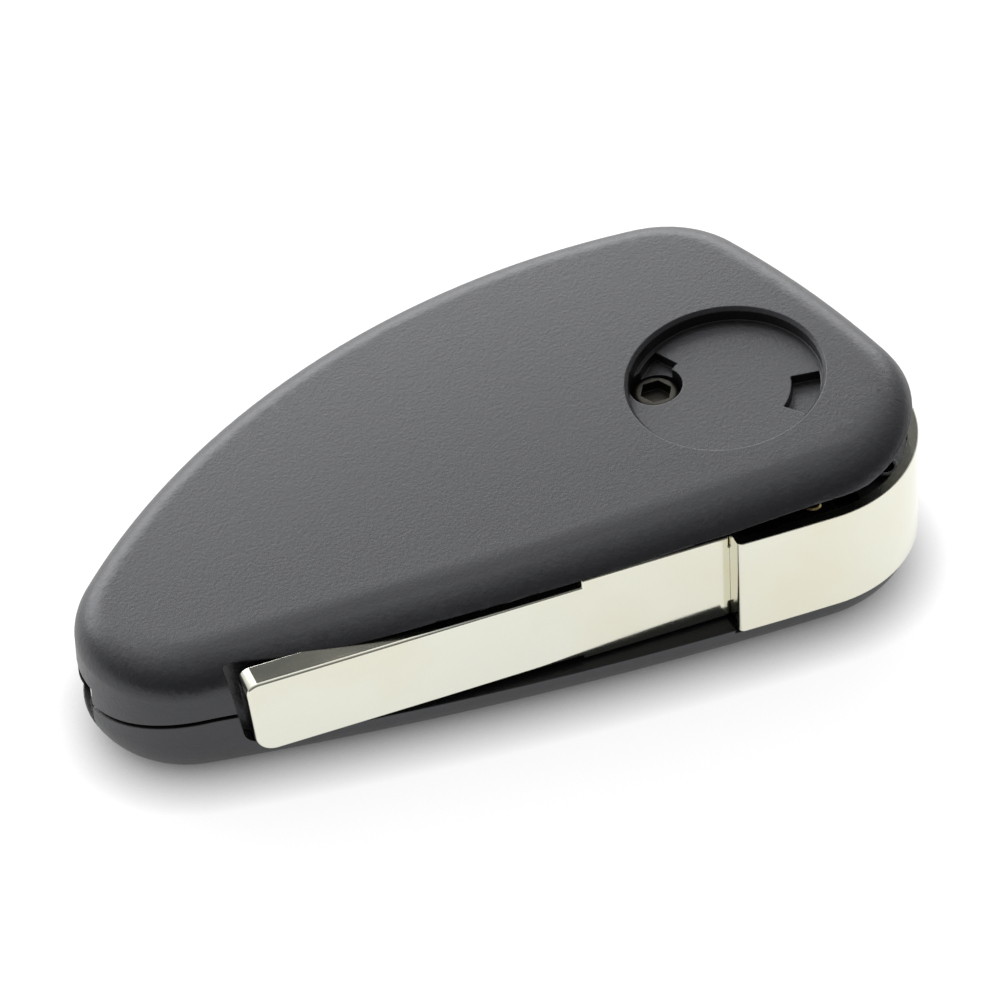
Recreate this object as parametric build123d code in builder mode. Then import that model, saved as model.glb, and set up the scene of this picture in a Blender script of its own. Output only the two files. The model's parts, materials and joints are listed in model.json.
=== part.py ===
"""Folding key fob shell: two moulded half shells with an uncut blade that swings out of the front side.

Millimetres. +X runs from the keyring end to the pivot end, -Y is the side that the blade folds into,
and +Z points out of the face with the round emblem seat. The push buttons look down, at Z = 0.
The origin lies under the middle of the whole part.
"""

import os
from math import atan2, cos, hypot, pi, radians, sin, sqrt, tan

from build123d import *

# Outline of the case from above: three long arcs joined by three corner arcs.
# Places with a sign are measured from the centre of the head corner, at the pivot end.
head_corner_r = 10.6
tail_corner_r = 9.0
tail_corner_x = -51.4
tail_corner_y = 2.6
back_corner_r = 9.6
back_corner_x = -4.5
back_corner_y = 16.5
front_side_r = 307.0
end_side_r = 97.0
back_side_r = 61.0

# Height and skin of the case. The top face rises towards the head corner.
case_height = 17.8
top_slope = 5.7
top_fillet = 2.9
bottom_fillet = 4.5
wall = 1.9
floor = 1.6
roof = 1.9
rib = 1.3

# The joint between the shells, which drops towards the keyring end.
parting_height = 7.3
parting_gap = 0.4
parting_drop_r = 22.0
lip_inset = 1.1
lip_height = 1.1
lip_fit = 0.1

# The head that turns on the pivot and carries the blade.
pivot_x = 1.5
pivot_y = -1.0
head_low = 3.95
head_over = 4.15
head_proud = 0.25
head_run = 8.65
head_depth = 5.65
head_edge_r = 0.5
band_t = 0.9
band_end_y = 4.6
band_fit = 0.04
core_recess = 1.05
core_lift = 0.15
core_gap = 0.4
core_pocket_x = 0.75
core_pocket_y = -9.5
core_pocket_long = 2.2
core_pocket_wide = 2.6
core_pocket_depth = 1.8
ring_boss_x = 6.1
ring_boss_y = -6.2
ring_boss_r = 1.15
ring_boss_hole_r = 0.8
ring_boss_tall = 0.4

# The uncut blade.
blade_t = 2.4
blade_inset = 2.0
blade_under = 0.66
blade_over = 1.44
blade_reach = 41.65
root_under = 0.28
root_over = 0.7
root_run = 12.85
tongue_margin = 1.75
tongue_run = 9.0
tip_lean = 0.75
tip_high_round = 1.0
tip_low_round = 1.8
blade_edge = 0.2
blade_face_edge = 0.25
blade_fit = 0.03
pin_r = 0.75
pin_x = -0.85
pin_low = 0.5
pin_stand = 0.15

# Room for the head and the blade in the case.
sweep_gap = 0.3
shelf_gap = 0.3
boss_gap = 0.35
slot_low = 4.0
slot_skin = 2.3
slot_flat_x = -2.0
slot_bend_x = -41.8
slot_over = 0.14
slot_rise_x = 3.0
slot_rise = 11.0
slot_end_gap = 0.9
slot_end_lean = 1.3
slot_back_gap = 1.1
slot_low_corner_r = 1.4
slot_high_corner_r = 0.5

# The round emblem seat and the two key slots in its floor.
seat_r = 8.0
seat_depth = 1.3
seat_edge = 0.3
seat_x = -3.45
seat_y = 4.3
seat_boss_deep = 4.8
key_slot_depth = 0.9
key_slot_r = 5.3
key_slot_ledge = 0.3
key_slot_sweep = 38.0
key_slot_starts = (-51.5, 117.5)

# The stack on the pivot, from the release button up to the spring cap.
button_r = 4.6
button_hole_gap = 0.1
button_low = 0.3
button_fillet = 0.5
button_flange = 0.9
button_flange_t = 0.8
flange_gap = 0.3
stem_r = 3.3
neck_r = 2.0
neck_stand = 0.2
running_gap = 0.05
chamber_r = 5.0
chamber_floor = 2.3
collar_r = 4.7
collar_t = 1.5
collar_lug = 0.8
collar_lug_width = 2.0
collar_lug_turn = 150.0
groove_depth = 0.8
groove_tall = 3.3
groove_start = -42.0
groove_sweep = 204.0
cap_r = 4.92
cap_t = 2.2
cap_hole_r = 2.2
cap_hole_deep = 1.4
cap_stub_r = 4.2
cap_stub_t = 0.7
hinge_boss_r = 6.4
spring_wire_r = 0.35
spring_r = 3.9
spring_turns = 2.5
spring_end_gap = 0.02
washer_in_r = 6.1
washer_out_r = 7.9
washer_t = 0.3

# The screw that closes the case, in the emblem seat, and its brass insert.
screw_x = -8.3
screw_y = 7.45
screw_r = 1.2
screw_reach = 8.5
screw_head_r = 1.95
screw_head_t = 1.4
screw_head_sunk = 0.6
screw_head_edge = 0.45
screw_socket_r = 1.35
screw_socket_depth = 0.9
screw_hole_gap = 0.12
screw_well_r = 2.2
screw_boss_r = 2.9
insert_r = 1.9
insert_t = 4.0
insert_low = 3.8
insert_fit = 0.02
insert_groove = 0.15
insert_groove_t = 0.6

# The keyring bar in its notch at the tail.
bar_r = 1.4
bar_set_in = 0.8
bar_y = 0.9
bar_low = 2.2
bar_skin = 3.7
bar_edge = 0.3
bar_fit = 0.02
notch_width = 5.2
notch_back = 2.4
notch_low = 2.9
bar_seat_deep = 1.0
notch_corner_r = 1.2

# Push buttons in the floor, on one gentle arc.
key_length = 9.0
key_width = 7.0
key_low = 0.25
key_gap = 0.2
key_rim = 0.7
key_rim_t = 0.6
key_fillet = 0.6
key_pitch = 12.0
key_first_x = -18.5
key_row_y = 8.6
key_row_drop = 0.9
key_guide_t = 0.8
key_guide_gap = 0.3

# Silicone mat over the push buttons and the frame for the circuit board and cell above it.
mat_t = 0.9
mat_low = 3.5
mat_inset = 0.6
mat_nub_r = 2.0
mat_nub_t = 0.35
frame_base_t = 1.0
frame_rim_t = 1.0
frame_tall = 4.2
cell_r = 10.2
cell_ring_t = 1.1
cell_x = -24.5
cell_y = 8.4
clip_t = 0.3
clip_width = 4.0
clip_foot = 2.2
clip_rise = 3.9
clip_arm = 6.0
clip_gap = 0.3

# Places that follow from the sizes above.
corner_centres = [(tail_corner_x, tail_corner_y), (0.0, 0.0), (back_corner_x, back_corner_y)]
corner_radii = [tail_corner_r, head_corner_r, back_corner_r]
side_radii = [front_side_r, end_side_r, back_side_r]


def side_centre(index):
    """Centre of a long side's arc, which its two corner arcs touch from inside."""
    (x1, y1), (x2, y2) = corner_centres[index], corner_centres[(index + 1) % 3]
    reach_1 = side_radii[index] - corner_radii[index]
    reach_2 = side_radii[index] - corner_radii[(index + 1) % 3]
    apart = hypot(x2 - x1, y2 - y1)
    along = (reach_1**2 - reach_2**2 + apart**2) / (2 * apart)
    across = sqrt(reach_1**2 - along**2)
    ux, uy = (x2 - x1) / apart, (y2 - y1) / apart
    return x1 + along * ux - across * uy, y1 + along * uy + across * ux


side_centres = [side_centre(index) for index in range(3)]
head_face_r = head_corner_r + head_proud
centre_x = (tail_corner_x - tail_corner_r + head_face_r) / 2
centre_y = (side_centres[2][1] + back_side_r - head_face_r) / 2


def at(x, y):
    """A place given from the head corner's centre, in the part's own frame."""
    return x - centre_x, y - centre_y


corner = at(0, 0)
tail = at(tail_corner_x, tail_corner_y)
pivot = at(pivot_x, pivot_y)
seat = at(seat_x, seat_y)
screw = at(screw_x, screw_y)
cell = at(cell_x, cell_y)
head_top = case_height - head_over
head_tall = head_top - head_low
head_mid = head_low + head_tall / 2
blade_low = head_low + blade_under
blade_high = head_top - blade_over
root_low = head_low + root_under
root_high = head_top - root_over
tongue_tall = head_tall - 2 * tongue_margin
head_ceiling = head_top + boss_gap
cap_low = head_ceiling - cap_t
shelf = head_low - shelf_gap
core_top = head_top - core_recess
core_low = head_low + core_lift
face_y = corner[1] - head_face_r
head_end_x = corner[0] - head_run
head_back_y = face_y + head_depth
blade_face_y = face_y + blade_inset
blade_mid_y = blade_face_y + blade_t / 2
tip_x = head_end_x - blade_reach
root_x = head_end_x - root_run
tongue_x = head_end_x + tongue_run
slot_end_x = tip_x - slot_end_gap
slot_back_y = blade_face_y + blade_t + slot_back_gap
band_end = at(0, band_end_y)[1]
pin = (corner[0] + pin_x, blade_mid_y)
bar = (tail[0] - sqrt((tail_corner_r - bar_set_in - bar_r) ** 2 - bar_y**2), tail[1] + bar_y)
open_end_y = 2 * pivot[1] - face_y + sweep_gap
slot_roof = case_height - slot_skin
seat_boss_low = case_height - seat_boss_deep
far = tail_corner_r - tail_corner_x
tall = 2 * case_height


def end_side_x(y, outset):
    """X of the end side, moved outwards by a distance, at a given Y."""
    cx, cy = at(*side_centres[1])
    return cx + sqrt((end_side_r + outset) ** 2 - (y - cy) ** 2)


sweep_r = hypot(end_side_x(band_end, head_proud) - pivot[0], band_end - pivot[1]) + sweep_gap
keys = [
    at(key_first_x - n * key_pitch, key_row_y - key_row_drop * n * n / 2) for n in range(3)
]
slope_cos, slope_sin = cos(radians(top_slope)), sin(radians(top_slope))


def on_top_face(place):
    """A plane on the sloping top face, over a place in the part's own frame."""
    height = case_height + (place[0] - corner[0]) * tan(radians(top_slope))
    return Plane(
        origin=(place[0], place[1], height),
        x_dir=(slope_cos, 0, slope_sin),
        z_dir=(-slope_sin, 0, slope_cos),
    )


top_plane = on_top_face(corner)
seat_plane = on_top_face(seat)
bar_tall = on_top_face(bar).origin.Z - bar_skin - bar_low
notch_high = bar_low + bar_tall - bar_seat_deep
screw_top = on_top_face(screw).origin.Z - seat_depth - screw_head_sunk
screw_seat = screw_top - screw_head_t
screw_tip = screw_seat - screw_reach
stem_top = core_low + chamber_floor + flange_gap
collar_top = stem_top + collar_t
mat_top = mat_low + mat_t
frame_floor = mat_top + frame_base_t


def outline(inset=0.0, mode=Mode.ADD):
    """The case's outline, moved in by a distance, in the open sketch."""
    with BuildLine() as edge_line:
        for index in range(3):
            follow = (index + 1) % 3
            start, end = at(*corner_centres[index]), at(*corner_centres[follow])
            cx, cy = at(*side_centres[index])
            nx, ny = at(*side_centres[follow])
            a = atan2(start[1] - cy, start[0] - cx)
            b = a + (atan2(end[1] - cy, end[0] - cx) - a) % (2 * pi)
            c = b + (atan2(end[1] - ny, end[0] - nx) - b) % (2 * pi)
            side = side_radii[index] - inset
            turn = corner_radii[follow] - inset
            ThreePointArc(*[(cx + side * cos(t), cy + side * sin(t)) for t in (a, (a + b) / 2, b)])
            ThreePointArc(
                *[(end[0] + turn * cos(t), end[1] + turn * sin(t)) for t in (b, (b + c) / 2, c)]
            )
    make_face(edge_line.edges(), mode=mode)


def box_between(low, high, mode=Mode.ADD):
    """A rectangle between two corners in the open sketch."""
    with Locations(((low[0] + high[0]) / 2, (low[1] + high[1]) / 2)):
        Rectangle(high[0] - low[0], high[1] - low[1], mode=mode)


def ring_sector(inner, outer, start, sweep):
    """Part of a flat ring about the open sketch's origin, angles in degrees."""
    with BuildLine() as ring_line:
        CenterArc((0, 0), inner, start, sweep)
        CenterArc((0, 0), outer, start, sweep)
        for turn in (radians(start), radians(start + sweep)):
            Line(
                (inner * cos(turn), inner * sin(turn)),
                (outer * cos(turn), outer * sin(turn)),
            )
    make_face(ring_line.edges())


def head_room_plan():
    """The ground that the head covers between folded and open."""
    with Locations(pivot):
        Circle(sweep_r)
    box_between((pivot[0], -far), (far, open_end_y))
    box_between((head_end_x - sweep_gap, -far), (pivot[0], head_back_y + sweep_gap))


def board_room_plan(inset=0.0):
    """The room for the circuit board: behind the blade slot and beside the head."""
    outline(wall + inset)
    box_between((-far, -far), (slot_end_x - rib + inset, far), Mode.SUBTRACT)
    box_between((-far, -far), (far, slot_back_y + rib + inset), Mode.SUBTRACT)
    box_between((pivot[0], -far), (far, open_end_y + rib + inset), Mode.SUBTRACT)
    with Locations(pivot):
        Circle(sweep_r + rib + inset, mode=Mode.SUBTRACT)
    with Locations(screw):
        Circle(screw_boss_r + inset, mode=Mode.SUBTRACT)


def below_parting(lift):
    """Everything under the joint between the shells, raised by a distance."""
    height = parting_height + lift
    arc = [
        (tail[0] - parting_drop_r * sin(t), height - parting_drop_r * (1 - cos(t)))
        for t in (0, pi / 8, pi / 4)
    ]
    with BuildPart() as under:
        with BuildSketch(Plane.XZ):
            with BuildLine():
                ThreePointArc(*arc)
                Polyline(arc[2], (arc[2][0], -tall), (far, -tall), (far, height), arc[0])
            make_face()
        extrude(amount=far, both=True)
    return under.part


under_seam_top = below_parting(parting_gap / 2)
under_seam_bottom = below_parting(-parting_gap / 2)
under_lip_top = below_parting(lip_height)

# The open space around the folded blade and the head, under its sloping roof line.
with BuildPart() as side_space:
    with BuildSketch(Plane.XY.offset(slot_low)):
        box_between((slot_end_x, -far), (pivot[0], slot_back_y))
        head_room_plan()
    extrude(amount=tall)
    with BuildSketch(Plane.XZ) as side_profile:
        rise_x = corner[0] + slot_rise_x
        with BuildLine():
            Polyline(
                (slot_end_x + slot_end_lean, slot_low),
                (far, slot_low),
                (far, slot_roof + (far - rise_x) * tan(radians(slot_rise))),
                (rise_x, slot_roof),
                (corner[0] + slot_flat_x, slot_roof),
                (corner[0] + slot_bend_x, blade_high + slot_over),
                (slot_end_x, blade_high + slot_over),
                close=True,
            )
        make_face()
        fillet(side_profile.vertices().sort_by(Axis.X)[0], slot_high_corner_r)
        fillet(side_profile.vertices().group_by(Axis.Y)[0].sort_by(Axis.X)[0], slot_low_corner_r)
    extrude(amount=far, both=True, mode=Mode.INTERSECT)

# Bosses under the roof: around the emblem seat, and over the pivot.
with BuildPart() as roof_bosses:
    with BuildSketch(Plane.XY.offset(seat_boss_low)):
        with Locations(seat):
            Circle(seat_r + rib)
        with Locations(pivot):
            Circle(hinge_boss_r)
    extrude(amount=tall)
    split(bisect_by=top_plane.offset(-roof / 2), keep=Keep.BOTTOM)

with BuildPart() as board_space:
    with BuildSketch():
        board_room_plan()
    extrude(amount=tall)
    split(bisect_by=top_plane.offset(-roof), keep=Keep.BOTTOM)

# Notch at the tail with the round sockets for the keyring bar.
with BuildPart() as keyring_space:
    with BuildSketch(Plane.XY.offset(notch_low)):
        box_between(
            (-far, bar[1] - notch_width / 2),
            (bar[0] + bar_r + notch_back, bar[1] + notch_width / 2),
        )
    extrude(amount=notch_high - notch_low)
    fillet(keyring_space.edges().filter_by(Axis.Z).group_by(Axis.X)[-1], notch_corner_r)
    with BuildSketch(Plane.XY.offset(bar_low)):
        with Locations(bar):
            Circle(bar_r + bar_fit)
    extrude(amount=bar_tall)

with BuildPart() as rear_rebate:
    with BuildSketch():
        outline(lip_inset - lip_fit)
    extrude(amount=tall)
    add(under_lip_top, mode=Mode.INTERSECT)

with BuildPart() as front_lip:
    with BuildSketch(Plane.XY.offset(bottom_fillet)):
        outline(lip_inset)
    extrude(amount=tall)
    add(under_lip_top, mode=Mode.INTERSECT)

# Rear shell, the upper one, with the emblem seat.
with BuildPart() as rear_shell:
    with BuildSketch():
        outline()
    extrude(amount=tall)
    split(bisect_by=top_plane, keep=Keep.BOTTOM)
    fillet(rear_shell.faces().sort_by(Axis.Z)[-1].edges(), top_fillet)
    add(under_seam_top, mode=Mode.SUBTRACT)
    add(rear_rebate.part, mode=Mode.SUBTRACT)
    add(board_space.part, mode=Mode.SUBTRACT)
    add(side_space.part, mode=Mode.SUBTRACT)
    add(roof_bosses.part)
    with BuildSketch(Plane.XY.offset(shelf)):
        head_room_plan()
    extrude(amount=head_ceiling - shelf, mode=Mode.SUBTRACT)
    with BuildSketch(seat_plane):
        Circle(seat_r)
    extrude(amount=-seat_depth, mode=Mode.SUBTRACT)
    seat_axis = Axis(seat_plane.origin, seat_plane.z_dir)
    chamfer(rear_shell.edges(Select.LAST).sort_by(seat_axis)[-1], seat_edge)
    with BuildSketch(seat_plane.offset(-seat_depth)):
        for start in key_slot_starts:
            ring_sector(key_slot_r, seat_r - key_slot_ledge, start, key_slot_sweep)
    extrude(amount=-key_slot_depth, mode=Mode.SUBTRACT)
    with BuildSketch(Plane.XY.offset(screw_seat)):
        with Locations(screw):
            Circle(screw_well_r)
    extrude(amount=tall, mode=Mode.SUBTRACT)
    with BuildSketch():
        with Locations(screw):
            Circle(screw_r + screw_hole_gap)
    extrude(amount=tall, mode=Mode.SUBTRACT)
    with BuildSketch(Plane.XY.offset(head_ceiling)):
        with Locations(pivot):
            Circle(cap_stub_r + bar_fit)
    extrude(amount=cap_stub_t + running_gap, mode=Mode.SUBTRACT)
    add(keyring_space.part, mode=Mode.SUBTRACT)

# Front shell, the lower one, with the push buttons.
with BuildPart() as front_shell:
    with BuildSketch():
        outline()
    extrude(amount=tall / 2)
    fillet(front_shell.faces().sort_by(Axis.Z)[0].edges(), bottom_fillet)
    add(under_seam_bottom, mode=Mode.INTERSECT)
    add(front_lip.part)
    with BuildSketch(Plane.XY.offset(floor)):
        board_room_plan()
    extrude(amount=tall, mode=Mode.SUBTRACT)
    key_guide_in = key_rim + key_guide_gap
    key_guide_out = key_guide_in + key_guide_t
    with BuildSketch(Plane.XY.offset(floor)):
        with Locations(*keys):
            SlotOverall(key_length + 2 * key_guide_out, key_width + 2 * key_guide_out)
    extrude(amount=mat_low - floor)
    with BuildSketch(Plane.XY.offset(floor)):
        with Locations(*keys):
            SlotOverall(key_length + 2 * key_guide_in, key_width + 2 * key_guide_in)
    extrude(amount=tall, mode=Mode.SUBTRACT)
    with BuildSketch():
        with Locations(*keys):
            SlotOverall(key_length + 2 * key_gap, key_width + 2 * key_gap)
    extrude(amount=tall, mode=Mode.SUBTRACT)
    add(side_space.part, mode=Mode.SUBTRACT)
    with BuildSketch(Plane.XY.offset(shelf)):
        head_room_plan()
    extrude(amount=tall, mode=Mode.SUBTRACT)
    with BuildSketch():
        with Locations(pivot):
            Circle(button_r + button_hole_gap)
    extrude(amount=tall, mode=Mode.SUBTRACT)
    with BuildSketch(Plane.XY.offset(floor)):
        with Locations(pivot):
            Circle(button_r + button_flange + flange_gap)
    extrude(amount=tall, mode=Mode.SUBTRACT)
    with BuildSketch(Plane.XY.offset(insert_low)):
        with Locations(screw):
            Circle(insert_r + insert_fit)
    extrude(amount=tall, mode=Mode.SUBTRACT)
    with BuildSketch(Plane.XY.offset(insert_low - rib)):
        with Locations(screw):
            Circle(screw_r + screw_hole_gap)
    extrude(amount=tall, mode=Mode.SUBTRACT)
    add(keyring_space.part, mode=Mode.SUBTRACT)

# Formed sheet cover of the head: a J with a flange that the blade's tongue passes through.
with BuildPart() as head_band:
    with BuildSketch(Plane.XY.offset(head_low)) as band_plan:
        outline(-head_proud)
        outline(band_t - head_proud, Mode.SUBTRACT)
        box_between((head_end_x, -far), (far, band_end), Mode.INTERSECT)
        box_between((head_end_x, face_y + band_t / 2), (head_end_x + band_t, head_back_y))
        fillet(band_plan.vertices().group_by(Axis.X)[0].sort_by(Axis.Y)[0], head_edge_r)
    extrude(amount=head_tall)
    with BuildSketch(Plane.YZ.offset(head_end_x)):
        with Locations((blade_mid_y, head_mid)):
            Rectangle(blade_t + 2 * blade_fit, tongue_tall + 2 * blade_fit)
    extrude(amount=band_t, mode=Mode.SUBTRACT)

# Moulded hub and blade carrier inside the cover.
with BuildPart() as head_core:
    with BuildSketch(Plane.XY.offset(core_low)):
        with Locations(pivot):
            Circle(sweep_r - core_gap)
        box_between((head_end_x + band_t + band_fit, face_y), (pivot[0], head_back_y))
        outline(band_t - head_proud + band_fit, Mode.INTERSECT)
    extrude(amount=core_top - core_low)
    with BuildSketch(Plane.XY.offset(core_top)):
        with Locations((corner[0] + ring_boss_x, corner[1] + ring_boss_y)):
            Circle(ring_boss_r)
    extrude(amount=ring_boss_tall)
    with BuildSketch(Plane.XY.offset(core_top + ring_boss_tall)):
        with Locations((corner[0] + ring_boss_x, corner[1] + ring_boss_y)):
            Circle(ring_boss_hole_r)
    extrude(amount=-core_pocket_depth, mode=Mode.SUBTRACT)
    with BuildSketch(Plane.XY.offset(core_top)):
        pocket_low = (corner[0] + core_pocket_x, corner[1] + core_pocket_y)
        pocket_high = (pocket_low[0] + core_pocket_long, pocket_low[1] + core_pocket_wide)
        box_between(pocket_low, pocket_high)
    extrude(amount=-core_pocket_depth, mode=Mode.SUBTRACT)
    with BuildSketch(Plane.XY.offset(core_low)):
        with Locations(pivot):
            Circle(stem_r + running_gap)
    extrude(amount=tall, mode=Mode.SUBTRACT)
    with BuildSketch(Plane.XY.offset(core_low + chamber_floor)):
        with Locations(pivot):
            Circle(chamber_r)
    extrude(amount=tall, mode=Mode.SUBTRACT)
    with BuildSketch(Plane(origin=(*pivot, core_low + chamber_floor))):
        ring_sector(chamber_r - groove_depth, chamber_r + groove_depth, groove_start, groove_sweep)
    extrude(amount=groove_tall, mode=Mode.SUBTRACT)
    with BuildSketch(Plane.YZ.offset(head_end_x)):
        with Locations((blade_mid_y, head_mid)):
            Rectangle(blade_t + 2 * blade_fit, tongue_tall + 2 * blade_fit)
    extrude(amount=tongue_run + blade_fit, mode=Mode.SUBTRACT)
    with BuildSketch(Plane.XY.offset(core_low + pin_low)):
        with Locations(pin):
            Circle(pin_r + blade_fit)
    extrude(amount=tall, mode=Mode.SUBTRACT)

# Uncut blade with its root step and its tongue.
with BuildPart() as key_blade:
    with BuildSketch(Plane.XZ.offset(-blade_face_y)) as blade_side:
        tongue = tongue_tall / 2
        root_end_x = head_end_x - blade_fit
        with BuildLine():
            Polyline(
                (tip_x + tip_lean, blade_low),
                (root_x, blade_low),
                (root_x, root_low),
                (root_end_x, root_low),
                (root_end_x, head_mid - tongue),
                (tongue_x, head_mid - tongue),
                (tongue_x, head_mid + tongue),
                (root_end_x, head_mid + tongue),
                (root_end_x, root_high),
                (root_x, root_high),
                (root_x, blade_high),
                (tip_x, blade_high),
                close=True,
            )
        make_face()
        fillet(blade_side.vertices().sort_by(Axis.X)[0], tip_high_round)
        fillet(blade_side.vertices().group_by(Axis.Y)[1].sort_by(Axis.X)[0], tip_low_round)
    extrude(amount=-blade_t)
    fillet(key_blade.faces().sort_by(Axis.Y)[0].edges(), blade_face_edge)
    chamfer(key_blade.faces().sort_by(Axis.Y)[-1].edges(), blade_edge)
    with BuildSketch():
        with Locations(pin):
            Circle(pin_r + blade_fit)
    extrude(amount=tall, mode=Mode.SUBTRACT)

with BuildPart() as blade_pin:
    with BuildSketch(Plane.XY.offset(core_low + pin_low)):
        with Locations(pin):
            Circle(pin_r)
    extrude(amount=core_top + pin_stand - core_low - pin_low)
    chamfer(blade_pin.edges().group_by(Axis.Z)[-1], pin_stand)

# Release button with its stem through the hub.
with BuildPart() as release_button:
    with BuildSketch(Plane.XY.offset(button_low)):
        with Locations(pivot):
            Circle(button_r)
    extrude(amount=floor + flange_gap - button_low)
    fillet(release_button.edges().group_by(Axis.Z)[0], button_fillet)
    with BuildSketch(Plane.XY.offset(floor + flange_gap)):
        with Locations(pivot):
            Circle(button_r + button_flange)
    extrude(amount=button_flange_t)
    with BuildSketch(Plane.XY.offset(floor + flange_gap)):
        with Locations(pivot):
            Circle(stem_r)
    extrude(amount=stem_top - floor - flange_gap)
    with BuildSketch(Plane.XY.offset(stem_top)):
        with Locations(pivot):
            Circle(neck_r)
    extrude(amount=collar_t + neck_stand)

# Collar on the stem's neck; its lug runs in the hub's groove.
with BuildPart() as latch_collar:
    with BuildSketch(Plane(origin=(*pivot, stem_top))):
        Circle(collar_r)
        with Locations(Rotation(0, 0, collar_lug_turn)):
            with Locations((collar_r / 2 + collar_lug / 2, 0)):
                Rectangle(collar_r + collar_lug, collar_lug_width)
        Circle(neck_r + bar_fit, mode=Mode.SUBTRACT)
    extrude(amount=collar_t)

# Coil spring between the collar and the spring cap.
spring_low = collar_top + spring_wire_r + spring_end_gap
spring_high = cap_low - spring_wire_r - spring_end_gap
with BuildPart() as flip_spring:
    with BuildLine() as coil:
        Helix(
            pitch=(spring_high - spring_low) / spring_turns,
            height=spring_high - spring_low,
            radius=spring_r,
            center=(pivot[0], pivot[1], spring_low),
        )
    with BuildSketch(Plane(origin=coil.line @ 0, z_dir=coil.line % 0)):
        Circle(spring_wire_r)
    sweep(path=coil.line)

with BuildPart() as spring_cap:
    with BuildSketch(Plane.XY.offset(cap_low)):
        with Locations(pivot):
            Circle(cap_r)
    extrude(amount=head_ceiling - cap_low)
    with BuildSketch(Plane.XY.offset(head_ceiling)):
        with Locations(pivot):
            Circle(cap_stub_r)
    extrude(amount=cap_stub_t)
    with BuildSketch(Plane.XY.offset(cap_low)):
        with Locations(pivot):
            Circle(cap_hole_r)
    extrude(amount=cap_hole_deep, mode=Mode.SUBTRACT)

with BuildPart() as hinge_washer:
    with BuildSketch(Plane.XY.offset(shelf)):
        with Locations(pivot):
            Circle(washer_out_r)
            Circle(washer_in_r, mode=Mode.SUBTRACT)
    extrude(amount=washer_t)

# Case screw with a hexagon socket.
with BuildPart() as shell_screw:
    with BuildSketch(Plane.XY.offset(screw_seat)):
        with Locations(screw):
            Circle(screw_head_r)
    extrude(amount=screw_head_t)
    fillet(shell_screw.edges().group_by(Axis.Z)[-1], screw_head_edge)
    with BuildSketch(Plane.XY.offset(screw_tip)):
        with Locations(screw):
            Circle(screw_r)
    extrude(amount=screw_reach)
    with BuildSketch(Plane.XY.offset(screw_top)):
        with Locations(screw):
            RegularPolygon(screw_socket_r, 6)
    extrude(amount=-screw_socket_depth, mode=Mode.SUBTRACT)

# Knurled brass insert, here with its two plain grooves.
with BuildPart() as threaded_insert:
    with BuildSketch(Plane.XY.offset(insert_low)):
        with Locations(screw):
            Circle(insert_r)
            Circle(screw_r + running_gap, mode=Mode.SUBTRACT)
    extrude(amount=insert_t)
    for share in (1 / 3, 2 / 3):
        with BuildSketch(Plane.XY.offset(insert_low + share * insert_t - insert_groove_t / 2)):
            with Locations(screw):
                Circle(insert_r + insert_groove)
                Circle(insert_r - insert_groove, mode=Mode.SUBTRACT)
        extrude(amount=insert_groove_t, mode=Mode.SUBTRACT)

with BuildPart() as keyring_bar:
    with BuildSketch(Plane.XY.offset(bar_low)):
        with Locations(bar):
            Circle(bar_r)
    extrude(amount=bar_tall)
    chamfer(keyring_bar.edges(), bar_edge)


def push_button(place):
    """A push button with the rim that keeps it behind the floor."""
    with BuildPart() as button:
        with BuildSketch(Plane.XY.offset(key_low)):
            with Locations(place):
                SlotOverall(key_length, key_width)
        extrude(amount=floor + flange_gap - key_low)
        fillet(button.edges().group_by(Axis.Z)[0], key_fillet)
        with BuildSketch(Plane.XY.offset(floor + flange_gap)):
            with Locations(place):
                SlotOverall(key_length + 2 * key_rim, key_width + 2 * key_rim)
        extrude(amount=key_rim_t)
    return button


lock_button = push_button(keys[0])
unlock_button = push_button(keys[1])
boot_button = push_button(keys[2])

# Silicone mat that rests on the button guides, with a nub over each push button.
with BuildPart() as button_mat:
    with BuildSketch(Plane.XY.offset(mat_low)):
        board_room_plan(mat_inset)
    extrude(amount=mat_t)
    with BuildSketch(Plane.XY.offset(mat_low)):
        with Locations(*keys):
            Circle(mat_nub_r)
    extrude(amount=-mat_nub_t)

# Frame that holds the circuit board and the round cell.
with BuildPart() as inner_frame:
    with BuildSketch(Plane.XY.offset(mat_top)):
        board_room_plan(mat_inset)
    extrude(amount=frame_tall)
    with BuildSketch(Plane.XY.offset(frame_floor)):
        board_room_plan(mat_inset + frame_rim_t)
    extrude(amount=tall, mode=Mode.SUBTRACT)
    with BuildSketch(Plane.XY.offset(frame_floor)):
        with Locations(cell):
            Circle(cell_r + cell_ring_t)
            Circle(cell_r, mode=Mode.SUBTRACT)
    extrude(amount=frame_tall - frame_base_t)

# Sprung contact strip that reaches over the cell.
with BuildPart() as battery_clip:
    rise_x = cell[0] - cell_r - cell_ring_t - clip_gap
    arm_top = frame_floor + clip_rise
    with BuildSketch(Plane.XZ.offset(-cell[1])):
        with BuildLine():
            Polyline(
                (rise_x - clip_t - clip_foot, frame_floor),
                (rise_x, frame_floor),
                (rise_x, arm_top - clip_t),
                (rise_x + clip_arm, arm_top - clip_t),
                (rise_x + clip_arm, arm_top),
                (rise_x - clip_t, arm_top),
                (rise_x - clip_t, frame_floor + clip_t),
                (rise_x - clip_t - clip_foot, frame_floor + clip_t),
                close=True,
            )
        make_face()
    extrude(amount=clip_width / 2, both=True)

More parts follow.
